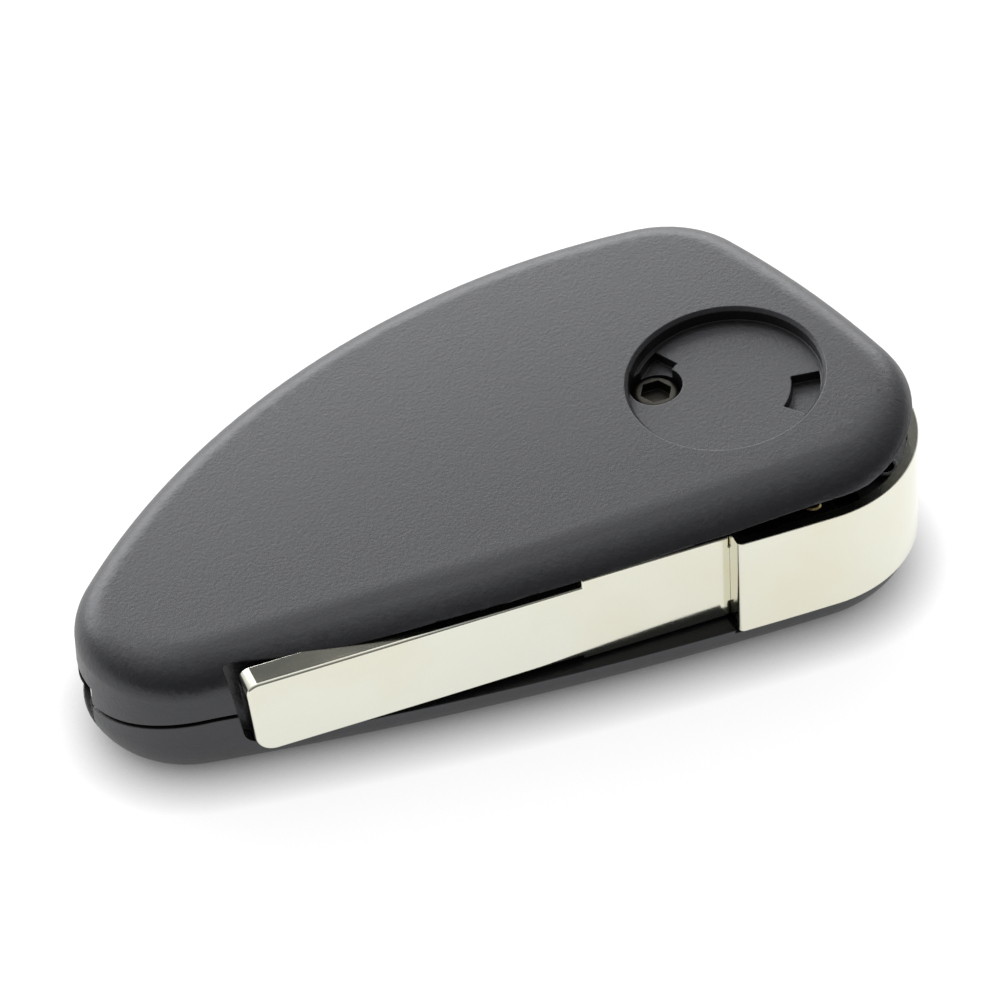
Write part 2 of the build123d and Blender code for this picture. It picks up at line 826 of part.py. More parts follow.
pieces = {
    "rear_shell": rear_shell,
    "front_shell": front_shell,
    "head_band": head_band,
    "head_core": head_core,
    "key_blade": key_blade,
    "blade_pin": blade_pin,
    "release_button": release_button,
    "latch_collar": latch_collar,
    "flip_spring": flip_spring,
    "spring_cap": spring_cap,
    "hinge_washer": hinge_washer,
    "shell_screw": shell_screw,
    "threaded_insert": threaded_insert,
    "keyring_bar": keyring_bar,
    "lock_button": lock_button,
    "unlock_button": unlock_button,
    "boot_button": boot_button,
    "button_mat": button_mat,
    "inner_frame": inner_frame,
    "battery_clip": battery_clip,
}

os.makedirs("parts", exist_ok=True)
for name, piece in pieces.items():
    piece.part.label = name
    export_step(piece.part, f"parts/{name}.step")
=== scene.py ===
# %% [markdown]
# # A folding key fob shell
#
# The real object is a moulded case, 71 mm long, with an uncut key blade folded into its front
# side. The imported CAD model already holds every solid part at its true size. This lesson loads
# that model, puts the camera and the light of a product photograph round it, gives each part its
# finish, and then makes what CAD leaves plain: rounds that shade as one, a crowned top, coils and
# printed signs.
#
# Lengths that a person would say in millimetres are written so, times MM.

# %% Load the solid parts
import json
from math import cos, hypot, pi, radians, sin, sqrt, tan

import bmesh
import bpy
from mathutils import Matrix, Vector


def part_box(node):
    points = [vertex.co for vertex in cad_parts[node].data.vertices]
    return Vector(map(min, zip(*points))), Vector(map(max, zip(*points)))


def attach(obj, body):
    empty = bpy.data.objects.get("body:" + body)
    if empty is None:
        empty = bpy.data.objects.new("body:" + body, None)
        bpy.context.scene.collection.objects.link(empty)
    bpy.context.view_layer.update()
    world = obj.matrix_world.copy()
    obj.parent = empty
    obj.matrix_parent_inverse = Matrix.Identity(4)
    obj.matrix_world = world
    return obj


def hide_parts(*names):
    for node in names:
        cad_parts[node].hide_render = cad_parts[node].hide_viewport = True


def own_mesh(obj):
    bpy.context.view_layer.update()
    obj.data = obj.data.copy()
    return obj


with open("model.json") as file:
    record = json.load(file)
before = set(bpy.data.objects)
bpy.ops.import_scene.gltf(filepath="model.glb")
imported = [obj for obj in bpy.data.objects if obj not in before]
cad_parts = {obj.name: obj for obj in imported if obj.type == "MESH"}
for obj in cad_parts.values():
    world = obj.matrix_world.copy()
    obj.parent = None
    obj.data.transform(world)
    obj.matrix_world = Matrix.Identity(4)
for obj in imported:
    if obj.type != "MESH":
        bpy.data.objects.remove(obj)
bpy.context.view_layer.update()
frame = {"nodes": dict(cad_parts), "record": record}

MM = 0.001
nodes = frame["nodes"]

# %% [markdown]
# ## The camera
#
# The photograph was taken from far away with a long lens, so its lines hardly run together. The
# camera could be placed by eye, but measured lines on the case gave its direction, its distance
# and a small roll, so it is set from those numbers.

# %% Camera
VIEW_AZIMUTH = radians(19.633)
VIEW_ELEVATION = radians(43.341)
VIEW_ROLL = radians(-2.775)
VIEW_DISTANCE = 0.6989
VIEW_TARGET = Vector((0.00236, -0.00104, 0.00853))
LENS_MM = 307.4

ahead = Vector((sin(VIEW_AZIMUTH), cos(VIEW_AZIMUTH), 0.0))
looking = ahead * cos(VIEW_ELEVATION) - Vector((0.0, 0.0, sin(VIEW_ELEVATION)))
camera_data = bpy.data.cameras.new("photo_camera")
camera_data.lens = LENS_MM
camera_data.sensor_width = 36.0
camera_data.clip_start = 0.05
camera_data.clip_end = 20.0
camera = bpy.data.objects.new("photo_camera", camera_data)
bpy.context.scene.collection.objects.link(camera)
camera.matrix_world = (
    Matrix.Translation(VIEW_TARGET - looking * VIEW_DISTANCE)
    @ looking.to_track_quat("-Z", "Y").to_matrix().to_4x4()
    @ Matrix.Rotation(VIEW_ROLL, 4, "Z")
)
bpy.context.scene.camera = camera
print("camera at", [round(c, 4) for c in camera.matrix_world.translation])

# %% [markdown]
# ## Sums between nodes
#
# Blender adds numbers in a material or a world with Math nodes, one node for each sum, and long
# chains are hard to read. A small class that wraps a socket lets Python write the same chain as an
# expression, such as 1 - mask.

# %% Tone: a socket that can be added and multiplied
class Tone:
    """A socket of a node tree. Sums with it add Math nodes."""

    def __init__(self, tree, socket=None):
        self.tree = tree
        self.socket = socket

    def node(self, kind, settings=None, sockets=None, output=0):
        """Adds a node: its settings first, then a value or a link for each of its sockets."""
        added = self.tree.nodes.new(kind)
        for name, value in (settings or {}).items():
            if name == "stops":
                ramp = added.color_ramp
                for element, (place, shade) in zip(ramp.elements, value):
                    element.position = place
                    element.color = (shade, shade, shade, 1.0)
            else:
                setattr(added, name, value)
        for name, value in (sockets or {}).items():
            if isinstance(value, Tone):
                self.tree.links.new(value.socket, added.inputs[name])
            else:
                added.inputs[name].default_value = value
        return Tone(self.tree, added.outputs[output])

    def beside(self, output):
        """Another output of the same node."""
        return Tone(self.tree, self.socket.node.outputs[output])

    def feed(self, taker, socket):
        """Links this tone to a socket of a node."""
        self.tree.links.new(self.socket, taker.inputs[socket])

    def math(self, operation, first, second=0.0):
        return self.node("ShaderNodeMath", {"operation": operation}, {0: first, 1: second})

    def __add__(self, other):
        return self.math("ADD", self, other)

    def __sub__(self, other):
        return self.math("SUBTRACT", self, other)

    def __rsub__(self, other):
        return self.math("SUBTRACT", other, self)

    def __mul__(self, other):
        return self.math("MULTIPLY", self, other)

    def __truediv__(self, other):
        return self.math("DIVIDE", self, other)

    __radd__ = __add__
    __rmul__ = __mul__


print("Tone is ready")

# %% [markdown]
# ## The backdrop
#
# The photograph is a white-table picture: the camera looks down on a white table, and a bright
# backdrop stands behind the object. Dark plastic shows this clearly, because nearly all that comes
# from it is mirrored. Its top mirrors the upper edge of the backdrop and is grey, and the light on
# it fades towards the front. A lamp far away would light the whole top evenly, so this one stands
# on the table only 30 cm behind the object, and its upper edge is set to a centimetre.

# %% Backdrop lamp
BACKDROP_DISTANCE = 0.30
BACKDROP_AZIMUTH = radians(3.0)
BACKDROP_WIDTH = 0.62
BACKDROP_LOW = 0.05
BACKDROP_HIGH = 0.258
BACKDROP_GLOW = 3.0


def softbox(name, place, aim, width, height, glow):
    """An even lamp of a given size, place and surface brightness, which the camera doesn't see."""
    data = bpy.data.lights.new(name, "AREA")
    data.shape = "RECTANGLE"
    data.size = width
    data.size_y = height
    data.energy = glow * pi * width * height
    light = bpy.data.objects.new(name, data)
    bpy.context.scene.collection.objects.link(light)
    turn = (aim - place).to_track_quat("-Z", "Y").to_matrix().to_4x4()
    light.matrix_world = Matrix.Translation(place) @ turn
    light.visible_camera = False
    return light


backdrop_aim = Vector((0.0, 0.0, (BACKDROP_LOW + BACKDROP_HIGH) / 2))
backdrop_way = Vector((sin(BACKDROP_AZIMUTH), cos(BACKDROP_AZIMUTH), 0.0))
backdrop_place = backdrop_aim + backdrop_way * BACKDROP_DISTANCE
backdrop_height = BACKDROP_HIGH - BACKDROP_LOW
softbox(
    "backdrop", backdrop_place, backdrop_aim, BACKDROP_WIDTH, backdrop_height, BACKDROP_GLOW
)
print("backdrop lamp at", [round(c, 3) for c in backdrop_place])

# %% [markdown]
# ## The room
#
# The rest of the room could be more lamps, but the round edges mirror every one of them as a
# streak. A world whose strength follows the direction alone has no edges: brightest over the
# backdrop, and dark in front. Photographers also hold a black card where a flat polished face
# would mirror plain white, and the blade's top in the photograph is such a dark face. So the world
# has one soft round dark place for it. The camera itself sees plain white.

# %% The room as a world
ROOM_GLOW = 1.5
ROOM_BRIGHT_ELEVATION = radians(40.0)
ROOM_DARK = 0.14
CARD_WIDE = radians(7.0)
CARD_SOFT = radians(3.0)
ALMOST_ONE = 0.9999

world = bpy.data.worlds.new("white_table_room")
bpy.context.scene.world = world
world.use_nodes = True
background = world.node_tree.nodes["Background"]
background.inputs["Color"].default_value = (1.0, 1.0, 1.0, 1.0)
start = Tone(world.node_tree)
direction = start.node("ShaderNodeTexCoord", output="Generated")


def facing(way):
    """How near a ray of the world is to a way: 1 along it, -1 against it."""
    sockets = {0: direction, 1: way}
    return start.node("ShaderNodeVectorMath", {"operation": "DOT_PRODUCT"}, sockets, "Value")


def raised(way, elevation):
    """A level way, raised by an angle."""
    return way * cos(elevation) + Vector((0.0, 0.0, sin(elevation)))


bright_way = raised(Vector((0.0, 1.0, 0.0)), ROOM_BRIGHT_ELEVATION)
nearness = 0.5 + 0.5 * facing(bright_way)
off_card = start.math("ARCCOSINE", ALMOST_ONE * facing(raised(ahead, VIEW_ELEVATION)))
open_share = start.node(
    "ShaderNodeMapRange",
    {"interpolation_type": "SMOOTHSTEP"},
    {"Value": off_card, "From Min": CARD_WIDE, "From Max": CARD_WIDE + CARD_SOFT},
)
squared = nearness * nearness
room = ROOM_DARK + ROOM_GLOW * squared * squared * open_share
seen = start.node("ShaderNodeLightPath", output="Is Camera Ray")
start.math("MAXIMUM", room, seen).feed(background, "Strength")
print("room glow:", ROOM_DARK, "to", round(ROOM_DARK + ROOM_GLOW, 2))

# %% [markdown]
# ## The table
#
# The table is white to within a centimetre of the object, with a small dark shadow where the two
# touch. A plain white floor can't do this under so dark a room. Many such tables are lit from
# below, so this floor glows. The contact shadow is partly cast by the light on the floor's pale
# colour and partly painted: the glow dims wherever the object is nearer than the reach of an
# Ambient Occlusion node.

# %% Floor
FLOOR_SIZE = 3.0

floor_mesh = bpy.data.meshes.new("studio_floor")
half = FLOOR_SIZE / 2
floor_mesh.from_pydata(
    [(-half, -half, 0), (half, -half, 0), (half, half, 0), (-half, half, 0)],
    [],
    [(0, 1, 2, 3)],
)
floor = bpy.data.objects.new("studio_floor", floor_mesh)
bpy.context.scene.collection.objects.link(floor)
bpy.context.scene.view_settings.view_transform = "Standard"
print("floor", FLOOR_SIZE, "m wide")

# %% [markdown]
# ## How a finish starts
#
# Every finish here is a Principled shader with patterns on Object coordinates, in metres. They
# could sit on a UV map, but these parts have none, and a pattern in space needs none and runs on
# round every edge. Two helpers do what each finish starts with: an empty material and a mix of two
# colours.


# %% Start of a finish
def new_finish(name):
    """An empty material, its start, its main shader and the place on the piece in metres."""
    material = bpy.data.materials.new(name)
    material.use_nodes = True
    tree = material.node_tree
    shader = tree.nodes["Principled BSDF"]
    start = Tone(tree)
    place = start.node("ShaderNodeTexCoord", output="Object")
    return material, start, shader, place


def mixed(start, factor, first, second):
    """A colour between two others. Each is three numbers or a tone."""
    first, second = (c if isinstance(c, Tone) else (*c, 1.0) for c in (first, second))
    return start.node(
        "ShaderNodeMix", {"data_type": "RGBA"}, {0: factor, 6: first, 7: second}, output=2
    )


print("helpers ready:", new_finish.__name__, mixed.__name__)

# %% Floor finish
FLOOR_WHITE = 0.26
FLOOR_UNEVEN = 1.02
FLOOR_GLOW = 0.86
PAINTED_SHADOW_REACH = 4.5 * MM
FLOOR_ROUGHNESS = 0.6
FLOOR_SHINE = 0.2
FLOOR_CLOUD_PER_METRE = 6.0

floor_finish, start, shader, place = new_finish("floor_white")
sockets = {"Vector": place, "Scale": FLOOR_CLOUD_PER_METRE}
cloud = start.node("ShaderNodeTexNoise", sockets=sockets)
lightest = FLOOR_UNEVEN * FLOOR_WHITE
mixed(start, cloud, [FLOOR_WHITE] * 3, [lightest] * 3).feed(shader, "Base Color")
# Painted contact shadow: an Ambient Occlusion node dims the floor's glow near the object.
sockets = {"Distance": PAINTED_SHADOW_REACH}
start.node("ShaderNodeAmbientOcclusion", {"samples": 8}, sockets).feed(shader, "Emission Color")
shader.inputs["Emission Strength"].default_value = FLOOR_GLOW
shader.inputs["Roughness"].default_value = FLOOR_ROUGHNESS
shader.inputs["Specular IOR Level"].default_value = FLOOR_SHINE
floor.data.materials.append(floor_finish)
print("floor finish:", floor_finish.name)

# %% [markdown]
# ## Grained plastic of the case
#
# The mould of such a case is spark-eroded, which leaves a fine even grain that scatters the light.
# An image could carry it, but two noise patterns on the real scale do. The fine one, a third of a
# millimetre wide, is the grain, and lifts the surface by a few hundredths. The coarse one mottles
# colour and gloss. A Bevel node rounds the sharp CAD edges in the shading, as a real mould does.
# All the plastics and rubbers of the case come from this one recipe with other numbers.

# %% Grained plastic
GRAIN_PER_METRE = 3400.0
MOTTLE_PER_METRE = 900.0
GRAIN_DEPTH = 0.03 * MM
GRAIN_STRENGTH = 0.9
GRAIN_STOPS = [(0.35, 0.0), (0.75, 1.0)]
SPECK_SHARE = 0.8
GLOSS_BY_MOTTLE = 0.12
GLOSS_BY_GRAIN = 0.1
EDGE_ROUND = 0.15 * MM
COOL_SHEEN = (0.93, 0.945, 1.0, 1.0)
PLASTIC_SHINE = 0.75


def grained_plastic(name, dark, light, grain_depth, roughness):
    """Moulded plastic with a fine grain, between two close colours."""
    material, start, shader, place = new_finish(name)
    shader.inputs["Specular IOR Level"].default_value = PLASTIC_SHINE
    shader.inputs["Specular Tint"].default_value = COOL_SHEEN
    sockets = {"Vector": place, "Scale": GRAIN_PER_METRE, "Detail": 3.0, "Roughness": 0.6}
    grain = start.node("ShaderNodeTexNoise", sockets=sockets)
    sockets = {"Vector": place, "Scale": MOTTLE_PER_METRE, "Detail": 2.0}
    mottle = start.node("ShaderNodeTexNoise", sockets=sockets)
    speck = start.node("ShaderNodeValToRGB", {"stops": GRAIN_STOPS}, {"Fac": grain})
    shade = SPECK_SHARE * speck + (1.0 - SPECK_SHARE) * mottle
    mixed(start, shade, dark, light).feed(shader, "Base Color")
    varied = GLOSS_BY_MOTTLE * (mottle - 0.5) + GLOSS_BY_GRAIN * (grain - 0.5)
    (roughness + varied).feed(shader, "Roughness")
    round_edge = start.node("ShaderNodeBevel", {"samples": 6}, {"Radius": EDGE_ROUND})
    sockets = {"Strength": GRAIN_STRENGTH, "Distance": grain_depth}
    sockets |= {"Height": grain, "Normal": round_edge}
    start.node("ShaderNodeBump", sockets=sockets).feed(shader, "Normal")
    return material


case_plastic = grained_plastic(
    "case_plastic", (0.006, 0.006, 0.0065), (0.010, 0.010, 0.011), GRAIN_DEPTH, 0.40
)
core_plastic = grained_plastic(
    "core_plastic", (0.007, 0.007, 0.007), (0.011, 0.011, 0.011), 0.5 * GRAIN_DEPTH, 0.36
)
button_plastic = grained_plastic(
    "button_plastic", (0.010, 0.010, 0.011), (0.017, 0.017, 0.018), 0.3 * GRAIN_DEPTH, 0.32
)
button_rubber = grained_plastic(
    "button_rubber", (0.012, 0.012, 0.013), (0.020, 0.020, 0.021), 0.4 * GRAIN_DEPTH, 0.62
)
print("plastics:", case_plastic.name, core_plastic.name, button_plastic.name, button_rubber.name)

# %% [markdown]
# ## Plated metal
#
# The blade and the head's cover are nickel-plated. Nickel is warmer than chrome, the rolled sheet
# under it leaves faint lines along its length, and fingers leave it a little tarnished in patches.
# The lines could be an anisotropic shader, which the export can't keep. A noise pattern stretched
# forty times along one axis does it with roughness and bump. The other metals share the recipe.

# %% Metals
LINE_STRETCH = 40.0
LINE_PER_METRE = 300.0
LINE_STRENGTH = 0.4
CLOUD_PER_METRE = 90.0
PATCH_PER_METRE = 60.0
TARNISH = (0.93, 0.86, 0.76)
TARNISH_SHARE = 0.7
TARNISH_STOPS = [(0.5, 0.0), (0.75, 1.0)]
DULL = 0.9
ROUGH_BY_LINES = 0.12
ROUGH_BY_STAIN = 0.1
METAL_EDGE_ROUND = 0.12 * MM


def brushed_metal(name, colour, roughness, line_depth, along=0):
    """Metal with faint lines along one axis."""
    material, start, shader, place = new_finish(name)
    shader.inputs["Metallic"].default_value = 1.0
    scale = [LINE_STRETCH] * 3
    scale[along] = 1.0
    stretched = start.node("ShaderNodeMapping", sockets={"Vector": place, "Scale": scale})
    sockets = {"Vector": stretched, "Scale": LINE_PER_METRE, "Detail": 4.0, "Roughness": 0.65}
    lines = start.node("ShaderNodeTexNoise", sockets=sockets)
    sockets = {"Vector": place, "Scale": CLOUD_PER_METRE}
    cloud = start.node("ShaderNodeTexNoise", sockets=sockets)
    clean = mixed(start, 0.5 * lines + 0.5 * cloud, [DULL * c for c in colour], colour)
    sockets = {"Vector": place, "Scale": PATCH_PER_METRE, "Detail": 3.0}
    patch = start.node("ShaderNodeTexNoise", sockets=sockets)
    stain = start.node("ShaderNodeValToRGB", {"stops": TARNISH_STOPS}, {"Fac": patch})
    warm = [tint * c for tint, c in zip(TARNISH, colour)]
    mixed(start, TARNISH_SHARE * stain, clean, warm).feed(shader, "Base Color")
    varied = roughness + ROUGH_BY_LINES * (lines - 0.5) + ROUGH_BY_STAIN * stain
    varied.feed(shader, "Roughness")
    round_edge = start.node("ShaderNodeBevel", {"samples": 6}, {"Radius": METAL_EDGE_ROUND})
    sockets = {"Strength": LINE_STRENGTH, "Distance": line_depth}
    sockets |= {"Height": lines, "Normal": round_edge}
    start.node("ShaderNodeBump", sockets=sockets).feed(shader, "Normal")
    return material


nickel = brushed_metal("nickel", (0.82, 0.825, 0.72), 0.08, 0.002 * MM)
steel = brushed_metal("steel", (0.50, 0.49, 0.47), 0.3, 0.004 * MM, along=2)
brass = brushed_metal("brass", (0.78, 0.60, 0.28), 0.25, 0.003 * MM, along=2)
blackened = brushed_metal("blackened_steel", (0.055, 0.052, 0.045), 0.42, 0.004 * MM, along=2)
print("metals:", nickel.name, steel.name, brass.name, blackened.name)

# %% [markdown]
# ## Which part has which finish
#
# The CAD parts come with a plain grey. Each gets its finish by the material slot of its own mesh,
# so the parts stay exactly as they were packed.

# %% Finishes by part
FINISHES = {
    case_plastic: ["rear_shell", "front_shell"],
    core_plastic: ["head_core", "spring_cap", "hinge_washer", "inner_frame"],
    button_plastic: ["release_button"],
    button_rubber: ["lock_button", "unlock_button", "boot_button", "button_mat"],
    nickel: ["head_band", "key_blade", "keyring_bar"],
    steel: ["latch_collar", "flip_spring", "battery_clip"],
    blackened: ["shell_screw"],
    brass: ["blade_pin", "threaded_insert"],
}
for material, names in FINISHES.items():
    for name in names:
        mesh = nodes[name].data
        mesh.materials.clear()
        mesh.materials.append(material)
print("parts with a finish:", sum(len(names) for names in FINISHES.values()))

# %% [markdown]
# ## Round forms that shade as one
#
# A CAD part arrives as loose triangles with a few flat steps round each curve, and every step
# shows in the plating and in the grazing light on the case. The curves could be rebuilt by hand,
# but a copy whose equal points are merged, with smooth shading up to the real edges, keeps the
# form exactly. The normals that the parts were loaded with belong to their old corners, so the
# copy drops them, and a Weighted Normal modifier lets the large faces decide.

# %% Smooth copies
MERGE_WITHIN = 0.002 * MM
REAL_EDGE = radians(32.0)
LOADED_LAYERS = ("custom_normal", "sharp_edge", "sharp_face")
record = frame["record"]
bodies_of = {
    node: body for body, names in record["behaviour"]["bodies"].items() for node in names
}


def placed(name, mesh):
    """A new object at the origin with this mesh."""
    piece = bpy.data.objects.new(name, mesh)
    bpy.context.scene.collection.objects.link(piece)
    return piece


def settle(piece, body):
    """Fixes the piece's modifiers in its mesh, and says what it rides on."""
    graph = bpy.context.evaluated_depsgraph_get()
    mesh = bpy.data.meshes.new_from_object(piece.evaluated_get(graph))
    piece.modifiers.clear()
    piece.data = mesh
    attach(piece, body)


def smooth_copy(node, reshape=None):
    """Stands in for a CAD part with a merged copy that shades smoothly up to its real edges."""
    work = bmesh.new()
    work.from_mesh(nodes[node].data)
    bmesh.ops.remove_doubles(work, verts=work.verts, dist=MERGE_WITHIN)
    if reshape:
        reshape(work)
    for face in work.faces:
        face.smooth = True
    mesh = bpy.data.meshes.new(node + "_smooth")
    work.to_mesh(mesh)
    work.free()
    for loaded in LOADED_LAYERS:
        if loaded in mesh.attributes:
            mesh.attributes.remove(mesh.attributes[loaded])
    mesh.set_sharp_from_angle(angle=REAL_EDGE)
    mesh.materials.append(nodes[node].data.materials[0])
    piece = placed(node + "_smooth", mesh)
    weighted = piece.modifiers.new("weighted", "WEIGHTED_NORMAL")
    weighted.keep_sharp = True
    settle(piece, bodies_of[node])
    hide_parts(node)
    print(piece.name, "has", len(piece.data.polygons), "faces")


# %% Parts that keep their form
SMOOTHED = [
    "front_shell",
    "head_band",
    "head_core",
    "key_blade",
    "keyring_bar",
    "blade_pin",
    "release_button",
    "lock_button",
    "unlock_button",
    "boot_button",
]
for node in SMOOTHED:
    smooth_copy(node)

# %% [markdown]
# ## The crowned top
#
# The top of the case looks flat, but it isn't quite: its light runs from front to back, while the
# floor of the emblem seat, which is flat, is one even grey. So the top is crowned, on a circle of
# half a metre, and its front edge rolls over earlier than a plain round would. CAD keeps it flat,
# so that the emblem seat stays true. The crown could be sculpted, but it follows a rule, so points
# do: a fine net of cuts is laid over the top of the copy, with more cuts along the front edge, and
# each outer point sinks with the square of its distance from the middle line. Near the front edge
# it sinks from a circle's fall to that of a wider ellipse. The walls, the seat's floor and all
# that is inside stay where they are.

# %% Numbers of the top, in mm
TOP_AT_CORNER = 17.8
CORNER_X = 24.775
TOP_SLOPE = tan(radians(5.7))
TOP_ROUND = 2.9
FRONT_ROLL = 4.4
CROWN_MIDDLE_Y = -2.0
CROWN_RADIUS = 534.0
CROWN_RISE = 0.13
RISE_ENDS_X = 31.0
RISE_FADE = 20.0
OUTER_WITHIN = 0.35


def top_at(x):
    """Height of the flat top in mm."""
    return TOP_AT_CORNER + (x - CORNER_X) * TOP_SLOPE


def fall(distance, width):
    """How far an elliptical edge as wide as this has fallen at a distance from the outline."""
    inside = max(width - distance, 0.0) / width
    return TOP_ROUND * (1.0 - sqrt(max(1.0 - inside * inside, 0.0)))


print("the top stands", round(top_at(CORNER_X), 2), "mm high over the pivot end")


# %% The outline in plan
def outline_of(points):
    """Corners of the plan's convex outline, anticlockwise."""
    ordered = sorted(set(points))
    halves = []
    for run in (ordered, ordered[::-1]):
        chain = []
        for x, y in run:
            while len(chain) > 1:
                (ax, ay), (bx, by) = chain[-2:]
                if (bx - ax) * (y - ay) - (by - ay) * (x - ax) > 0:
                    break
                chain.pop()
            chain.append((x, y))
        halves += chain[:-1]
    return halves


def edge_distance(x, y, outline):
    """Distance to the nearest side of the outline in mm, and how far that side faces the front."""
    nearest, front = 1e9, 0.0
    for (ax, ay), (bx, by) in zip(outline, outline[1:] + outline[:1]):
        long = hypot(bx - ax, by - ay)
        away = ((bx - ax) * (y - ay) - (by - ay) * (x - ax)) / long
        if away < nearest:
            nearest, front = away, (bx - ax) / long
    return max(nearest, 0.0), front


print("outline helpers ready:", outline_of.__name__, edge_distance.__name__)

# %% A net of cuts
NET_STEP = 1.2
NET_DEPTH = 3.2
NET_REACH = (36, 19)
NET_WAYS = (Vector((1.0, 0.0, 0.0)), Vector((0.0, 1.0, 0.0)))
FRONT_CUTS = (0.5, 1.0, 1.5, 2.0, 2.5, 3.0, 3.4, 3.8, 4.2, 4.6, 5.2)


def depth_of(vertex):
    """How far a point lies under the flat top, in mm."""
    return top_at(vertex.co.x / MM) - vertex.co.z / MM


def cut_net(work, outline):
    """Cuts the upper faces along x and y, and along lines inside the long front side."""
    upper = [f for f in work.faces if all(depth_of(v) < NET_DEPTH for v in f.verts)]
    cut = dict.fromkeys(upper)
    for face in upper:
        cut.update(dict.fromkeys([*face.edges, *face.verts]))
    planes = []
    for reach, way in zip(NET_REACH, NET_WAYS):
        for step in range(int(2 * reach / NET_STEP)):
            planes.append((way * (-reach + (step + 0.5) * NET_STEP), way))
    sides = list(zip(outline, outline[1:] + outline[:1]))
    first, second = max(sides, key=lambda side: side[1][0] - side[0][0])
    first, second = Vector((*first, 0.0)), Vector((*second, 0.0))
    run = (second - first).normalized()
    inward = Vector((-run.y, run.x, 0.0))
    planes += [(first + inward * inset, inward) for inset in FRONT_CUTS]
    cut = list(cut)
    for place, way in planes:
        result = bmesh.ops.bisect_plane(work, geom=cut, plane_co=place * MM, plane_no=way)
        cut = result["geom"]
    print("net of", len(planes), "cuts over", len(upper), "faces")


# %% Crowned copy of the upper shell
def crown(work):
    """Cuts a net into the top and sinks it by the crown and the wider front edge."""
    outline = outline_of([(round(v.co.x / MM, 3), round(v.co.y / MM, 3)) for v in work.verts])
    cut_net(work, outline)
    moved = 0
    for vertex in work.verts:
        x, y = vertex.co.x / MM, vertex.co.y / MM
        depth = depth_of(vertex)
        if depth > TOP_ROUND:
            continue
        distance, front = edge_distance(x, y, outline)
        plain = fall(distance, TOP_ROUND)
        if depth > plain + OUTER_WITHIN:
            continue
        share = 1.0 - depth / TOP_ROUND
        rise = CROWN_RISE * min(max((RISE_ENDS_X - x) / RISE_FADE, 0.0), 1.0)
        sink = share * ((y - CROWN_MIDDLE_Y) ** 2 / (2.0 * CROWN_RADIUS) - rise)
        sink += max(front, 0.0) ** 2 * (fall(distance, FRONT_ROLL) - plain)
        vertex.co.z -= sink * MM
        moved += 1
    bmesh.ops.triangulate(work, faces=[f for f in work.faces if len(f.verts) > 4])
    print("outline corners:", len(outline), "points moved:", moved)


smooth_copy("rear_shell", crown)

# %% [markdown]
# ## The coil spring and the screw's thread
#
# A coil spring throws the blade out, and the screw in the emblem seat has a rolled thread. Either
# could be a Screw modifier on a profile, but both are one rule, a wire drawn along a helix, and
# Geometry Nodes make it from a few named numbers. So one tree does both: a Spiral curve, a circle
# swept along it, and a finish at the end. A wire with four sides is the ridge of a thread.

# %% A tree for coils
COIL_STEPS = 48


def coil_tree(name, finish):
    """A tree that sweeps a round wire along a helix. Its inputs are the coil's sizes."""
    tree = bpy.data.node_groups.new(name, "GeometryNodeTree")
    for label, kind in (
        ("Place", "NodeSocketVector"),
        ("Radius", "NodeSocketFloat"),
        ("Rise", "NodeSocketFloat"),
        ("Turns", "NodeSocketFloat"),
        ("Wire", "NodeSocketFloat"),
        ("Sides", "NodeSocketInt"),
    ):
        tree.interface.new_socket(label, in_out="INPUT", socket_type=kind)
    tree.interface.new_socket("Mesh", in_out="OUTPUT", socket_type="NodeSocketGeometry")
    given = tree.nodes.new("NodeGroupInput").outputs
    helix = tree.nodes.new("GeometryNodeCurveSpiral")
    helix.inputs["Resolution"].default_value = COIL_STEPS
    wire = tree.nodes.new("GeometryNodeCurvePrimitiveCircle")
    sweep = tree.nodes.new("GeometryNodeCurveToMesh")
    sweep.inputs["Fill Caps"].default_value = True
    shift = tree.nodes.new("GeometryNodeTransform")
    smooth = tree.nodes.new("GeometryNodeSetShadeSmooth")
    realize = tree.nodes.new("GeometryNodeRealizeInstances")
    paint = tree.nodes.new("GeometryNodeSetMaterial")
    paint.inputs["Material"].default_value = finish
    result = tree.nodes.new("NodeGroupOutput")
    for source, taker in (
        (given["Turns"], helix.inputs["Rotations"]),
        (given["Radius"], helix.inputs["Start Radius"]),
        (given["Radius"], helix.inputs["End Radius"]),
        (given["Rise"], helix.inputs["Height"]),
        (given["Sides"], wire.inputs["Resolution"]),
        (given["Wire"], wire.inputs["Radius"]),
        (helix.outputs["Curve"], sweep.inputs["Curve"]),
        (wire.outputs["Curve"], sweep.inputs["Profile Curve"]),
        (sweep.outputs["Mesh"], shift.inputs["Geometry"]),
        (given["Place"], shift.inputs["Translation"]),
        (shift.outputs["Geometry"], smooth.inputs["Geometry"]),
        (smooth.outputs["Geometry"], realize.inputs["Geometry"]),
        (realize.outputs["Geometry"], paint.inputs["Geometry"]),
        (paint.outputs["Geometry"], result.inputs["Mesh"]),
    ):
        tree.links.new(source, taker)
    return tree


print("a coil has", COIL_STEPS, "steps a turn")


# %% An object from a tree
def grown(name, tree, values):
    """An object that a tree makes from these inputs."""
    piece = placed(name, bpy.data.meshes.new(name))
    modifier = piece.modifiers.new("grow", "NODES")
    modifier.node_group = tree
    for socket in tree.interface.items_tree:
        if socket.in_out == "INPUT":
            modifier[socket.identifier] = values[socket.name]
    return piece


print("helper ready:", grown.__name__)

# %% [markdown]
# The spring takes the place and the length of its CAD node. It stands between the spring cap,
# which doesn't move, and the latch collar, which the release button lifts by 1.2 mm. It rides on
# the case.

# %% Flip spring
PIVOT_X = 26.275 * MM
PIVOT_Y = -9.1062 * MM
SPRING_WIRE = 0.35 * MM
SPRING_RADIUS = 3.9 * MM
SPRING_TURNS = 2.5
SPRING_SIDES = 12

